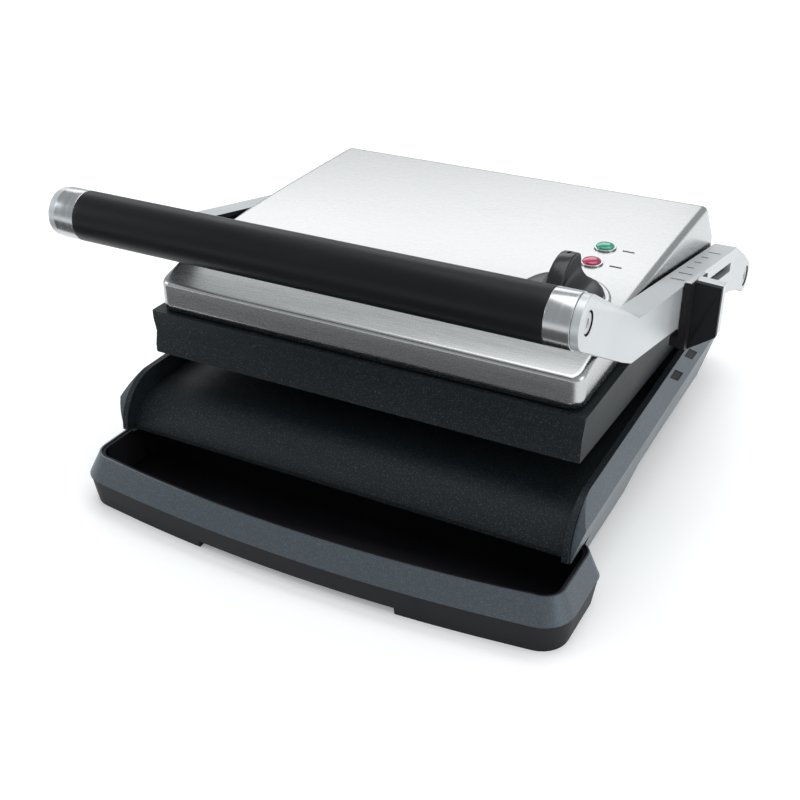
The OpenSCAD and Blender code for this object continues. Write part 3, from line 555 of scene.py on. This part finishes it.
bezel_r = half_span("dial_bezel")
BEZEL_BORE = 4.5
BEZEL_FOOT = 0.1
BEZEL_SEAT = 0.9
BEZEL_TOP = 1.5
bezel_shape = rounded(
    [(BEZEL_BORE, BEZEL_FOOT), (bezel_r, BEZEL_FOOT), (bezel_r, 1.0), (bezel_r - 1.4, BEZEL_TOP),
     (bezel_r - 3.6, BEZEL_TOP), (bezel_r - 4.0, BEZEL_SEAT), (BEZEL_BORE, BEZEL_SEAT)], 0.4)
bezel_profile = [tuple(p) for p in bezel_shape] + [(BEZEL_BORE, BEZEL_FOOT)]
verts, faces = lathe([(r * MM, h * MM) for r, h in bezel_profile], dial_at)
bezel = new_object("dial_disc", mesh_from("dial_disc", verts, faces), "lid", "ferrule_steel", 30)
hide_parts("dial_bezel")

KNOB_R = half_span("dial_knob")
KNOB_FOOT = 2.0
KNOB_RIM = 4.0
DOME_H = 3.4
BLADE_HALF = 5.3
BLADE_ARC = 25.0
BLADE_BACK = 7.0
BLADE_BASE = 0.6
BLADE_END = 21.0
FLARE = 9.0
FLARE_SHARE = 0.62
SLOT_FRONT = 10.0
SLOT_BACK = 18.0
SLOT_HALF = 0.8
SLOT_DEPTH = 1.7


def dome(x, y):
    """Height of the cap's low dome."""
    return KNOB_RIM + DOME_H * math.sqrt(max(0.0, 1 - (x * x + y * y) / KNOB_R ** 2))


def crest(y):
    """How far the blade's crest stands above the dome at a place along it."""
    arc = BLADE_BASE + math.sqrt(max(0.0, BLADE_ARC ** 2 - (y - BLADE_BACK) ** 2))
    end = max(0.0, min(1.0, (BLADE_END - y) / 2.0))
    return max(0.0, arc - dome(0, y)) * (1 - (1 - end) ** 3)


def knob_row(y):
    """Right half of the cap's section at y, from the rim to the middle: dome, flare, flank, crest."""
    half = math.sqrt(max(0.0, KNOB_R ** 2 - y * y))
    rise = crest(y)
    blade_x = min(BLADE_HALF, half * 0.6)
    flare_x = min(blade_x + FLARE, blade_x + (half - blade_x) * 0.8)
    row = [(half + (flare_x - half) * i / 8, 0.0) for i in range(8)]
    for i in range(9):
        a = math.radians(90 * i / 8)
        row.append((flare_x - (flare_x - blade_x) * math.sin(a), FLARE_SHARE * (1 - math.cos(a))))
    soft = 0.07
    row.append((blade_x - 0.1, 0.5 + (FLARE_SHARE + 1 - soft) / 4))
    for i in range(5):
        a = math.radians(90 * i / 4)
        inward = 0.2 + 1.3 * (1 - math.cos(a)) * blade_x / BLADE_HALF
        row.append((blade_x - inward, 1 - soft + soft * math.sin(a)))
    row += [(0.9, 1.0), (0.75, 1.0), (0.0, 1.0)]
    in_slot = SLOT_FRONT < y < SLOT_BACK
    points = []
    for x, share in row:
        sunk = SLOT_DEPTH if in_slot and x < SLOT_HALF else 0.0
        points.append((x, dome(x, y) + rise * share - sunk))
    return points


def knob_cap():
    """The dial's cap: a low dome swept up along concave flanks into a finger blade."""
    ys = [-KNOB_R * math.cos(math.radians(a)) for a in (3, 8, 14, 20, 27, 34, 41, 48, 55, 62, 69, 76, 83, 90)]
    ys += [2.0, 4.0, 6.0, 8.0]
    ys += [SLOT_FRONT - 0.05, SLOT_FRONT + 0.05, 12.0, 14.0, 16.0, SLOT_BACK - 0.05, SLOT_BACK + 0.05]
    ys += [BLADE_END - d for d in (2.4, 1.9, 1.5, 1.1, 0.7, 0.4, 0.2, 0.05)]
    ys += [BLADE_END + d for d in (0.2, 1.0, 2.2, 3.4, 4.2)]
    ys += [KNOB_R * math.cos(math.radians(a)) for a in (6, 3)]
    verts, rows = [], []
    for y in ys:
        right = knob_row(y)
        row = [(-x, z) for x, z in right] + list(reversed(right[:-1]))
        rows.append(list(range(len(verts), len(verts) + len(row))))
        verts += [Vector((x, y, z)) for x, z in row]
    faces = grid_faces(rows)
    outline = outline_of(rows)
    previous = outline
    for height, inset in ((KNOB_RIM - 0.8, 1.0), (KNOB_FOOT + 0.5, 1.0), (KNOB_FOOT, 0.98)):
        ring = list(range(len(verts), len(verts) + len(outline)))
        verts += [Vector((verts[k].x * inset, verts[k].y * inset, min(height, verts[k].z))) for k in outline]
        faces += wall_faces(previous, ring)
        previous = ring
    faces.append(tuple(previous))
    return [dial_at(v * MM) for v in verts], faces


verts, faces = knob_cap()
knob = new_object("dial_cap", mesh_from("dial_cap", verts, faces), "dial", "gloss_black", 50)
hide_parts("dial_knob")

LENS_FOOT = 0.6 * MM
LENS_RIM = 1.3 * MM
LENS_RISE = 1.7 * MM
for name, slot in (("power_lens", "green_lens"), ("ready_lens", "red_lens")):
    lo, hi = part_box(name)
    centre = (lo + hi) / 2
    r = (hi.x - lo.x) / 2
    z = crown(centre.y)
    axis = Vector((0, -crown_slope(centre.y), 1)).normalized()
    at = on_axis(Vector((centre.x, centre.y, z)), axis)
    profile = [(0, LENS_FOOT), (r, LENS_FOOT), (r, LENS_RIM)]
    for a in range(8, 90, 8):
        turn = math.radians(a)
        profile.append((r * math.cos(turn), LENS_RIM + LENS_RISE * math.sin(turn)))
    profile += [(0, LENS_RIM + LENS_RISE)]
    verts, faces = lathe(profile, at, 64)
    lens = new_object(name + "_dome", mesh_from(name, verts, faces), "lid", slot, 50)
    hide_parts(name)

# ---------------------------------------------------------------- CAD shapes with their edges rounded

for name, of_node, width, segments, angle in (
        ("side_walls", "base_shell", 1.1, 3, 25),
        ("bottom_pan", "base_pan", 1.0, 2, 30),
        ("foot_pads", "rubber_feet", 1.0, 3, 40),
        ("rack_notches", "height_rack", 0.4, 2, 30),
        ("cooking_deck", "lower_plate", 1.0, 3, 30),
        ("hinge_housing", "rear_housing", 1.6, 3, 30),
        ("inlet_sleeve", "cord_gland", 0.6, 3, 40),
        ("hinge_lug_left", "hinge_post_left", 0.8, 3, 30),
        ("hinge_lug_right", "hinge_post_right", 0.8, 3, 30),
        ("hinge_bolt_left", "hinge_pin_left", 0.5, 2, 40),
        ("hinge_bolt_right", "hinge_pin_right", 0.5, 2, 40),
        ("grease_tray", "tray_pan", 1.0, 3, 35),
        ("tray_fascia", "tray_band", 0.9, 3, 35),
        ("lift_arm_left", "arm_left", 2.0, 4, 30),
        ("lift_arm_right", "arm_right", 2.0, 4, 30),
        ("handle_bolts", "handle_screws", 0.4, 2, 40),
        ("slider_block", "slider_body", 0.9, 3, 30),
        ("slider_edge", "slider_trim", 0.5, 2, 30),
        ("pressing_plate", "upper_plate", 0.7, 2, 30),
        ("cover_frame", "inner_frame", 0.4, 2, 30),
        ("lamp_rings", "lens_rings", 0.25, 2, 40)):
    refined(name, of_node, width, segments, angle)


def paint_shade(name, dark, picked):
    """Paints shade onto the faces a test picks: they take a second, dark material that stands in for the
    shadow on them.
    """
    mesh = bpy.data.objects[name].data
    mesh.materials.append(dark)
    for face in mesh.polygons:
        if picked(face.center, face.normal):
            face.material_index = 1


def near(centre, at, radius):
    """True within a radius of a point seen from the side."""
    return math.hypot(centre.y - at[0], centre.z - at[1]) < radius


hinge_lo, hinge_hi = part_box("hinge_pin_right")
hinge_at = ((hinge_lo.y + hinge_hi.y) / 2, (hinge_lo.z + hinge_hi.z) / 2)
arm_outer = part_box("arm_right")[1].x - 0.5 * MM
SCREW_RECESS = 6.8 * MM
PIN_RECESS = 8.3 * MM


def in_recess(centre):
    """True in the round recesses for the handle's screw and the hinge pin's head."""
    at_screw = near(centre, (handle_y, handle_z), SCREW_RECESS)
    at_pin = near(centre, hinge_at, PIN_RECESS)
    return abs(centre.x) < arm_outer and (at_screw or at_pin)


# painted shade: the arms' inner faces and the round recesses at the handle's screw and the hinge pin's head
# take black plastic for the shadow that falls there
for name, side in (("lift_arm_left", -1), ("lift_arm_right", 1)):
    paint_shade(name, M["black_plastic"], lambda c, n: n.x * side < -0.9 or in_recess(c))

# the CAD nodes left as they are take their finish here
for name, cad in NODES.items():
    for slot in cad.material_slots:
        slot.material = M[SLOT_OF[name]]

# ---------------------------------------------------------------- floor, light, camera


def floor_material():
    """Pale floor that glows a little, so that it comes out white."""
    mat = principled("studio_floor", (0.93, 0.93, 0.93), 0.6, specular=0.2)
    slow = noise(mat, 3.0, 2.0)
    to_shader(mat, mix_color(mat, slow.outputs["Fac"], (0.925,) * 3, (0.94,) * 3), "Base Color")
    shader = mat.node_tree.nodes["Principled BSDF"]
    shader.inputs["Emission Color"].default_value = (1, 1, 1, 1)
    shader.inputs["Emission Strength"].default_value = 0.22
    return mat


def sheet_object(name, lo, hi, height, mat):
    """A flat rectangle lying at a height, outside the part."""
    corners = [(lo[0], lo[1]), (hi[0], lo[1]), (hi[0], hi[1]), (lo[0], hi[1])]
    mesh = bpy.data.meshes.new(name)
    mesh.from_pydata([(x, y, height) for x, y in corners], [], [(0, 1, 2, 3)])
    mesh.materials.append(mat)
    made = bpy.data.objects.new(name, mesh)
    bpy.context.scene.collection.objects.link(made)
    return made


FLOOR_HALF = 14.0
floor_mat = floor_material()
floor = sheet_object("studio_floor", (-FLOOR_HALF, -FLOOR_HALF), (FLOOR_HALF, FLOOR_HALF), 0, floor_mat)


def flag(name, lo, hi, height, value):
    """A grey card lying in front of the press, seen only in its reflections, as photographers use."""
    mat = principled(name, (value, value, value), 0.9, specular=0.1)
    grain = noise(mat, 5.0, 2.0)
    to_shader(mat, mix_color(mat, grain.outputs["Fac"], (value * 0.8,) * 3, (value,) * 3), "Base Color")
    card = sheet_object(name, lo, hi, height, mat)
    card.visible_camera = False
    card.visible_diffuse = False
    card.visible_shadow = False


flag("front_flag", (-0.75, -0.62), (0.30, -0.235), 2 * MM, 0.16)

world = bpy.data.worlds.new("studio")
bpy.context.scene.world = world
world.use_nodes = True
world.node_tree.nodes["Background"].inputs["Color"].default_value = (0.93, 0.97, 1.0, 1)
world.node_tree.nodes["Background"].inputs["Strength"].default_value = 0.50


def softbox(name, place, target, width, height, power, tint=(1, 1, 1)):
    """A rectangular area lamp turned towards its target."""
    data = bpy.data.lights.new(name, "AREA")
    data.shape = "RECTANGLE"
    data.size = width
    data.size_y = height
    data.energy = power
    data.color = tint
    lamp = bpy.data.objects.new(name, data)
    lamp.location = place
    lamp.rotation_euler = (Vector(target) - Vector(place)).to_track_quat("-Z", "Y").to_euler()
    bpy.context.scene.collection.objects.link(lamp)


softbox("overhead", (0.3, 0.2, 2.6), (0, 0, 0), 2.4, 2.4, 40)
softbox("back_left", (-1.6, 2.5, 1.85), (0, 0, 0.1), 2.8, 1.2, 17)
softbox("right_side", (2.2, -0.2, 0.9), (0, 0, 0.1), 1.2, 1.2, 9, (0.96, 0.99, 1.0))
softbox("left_side", (-2.2, -0.9, 1.0), (0, 0, 0.1), 1.0, 1.0, 9, (0.93, 0.98, 1.0))

scene = bpy.context.scene
scene.view_settings.view_transform = "Standard"
camera_data = bpy.data.cameras.new("camera")
camera_data.lens = 53.345
camera_data.sensor_width = 36.0
camera = bpy.data.objects.new("camera", camera_data)
camera.location = (0.3285, -0.6848, 0.4513)
AZIMUTH = math.radians(27.99)
ELEVATION = math.radians(29.42)
level = math.cos(ELEVATION)
direction = Vector((-math.sin(AZIMUTH) * level, math.cos(AZIMUTH) * level, -math.sin(ELEVATION)))
camera.rotation_euler = direction.to_track_quat("-Z", "Y").to_euler()
scene.collection.objects.link(camera)
scene.camera = camera
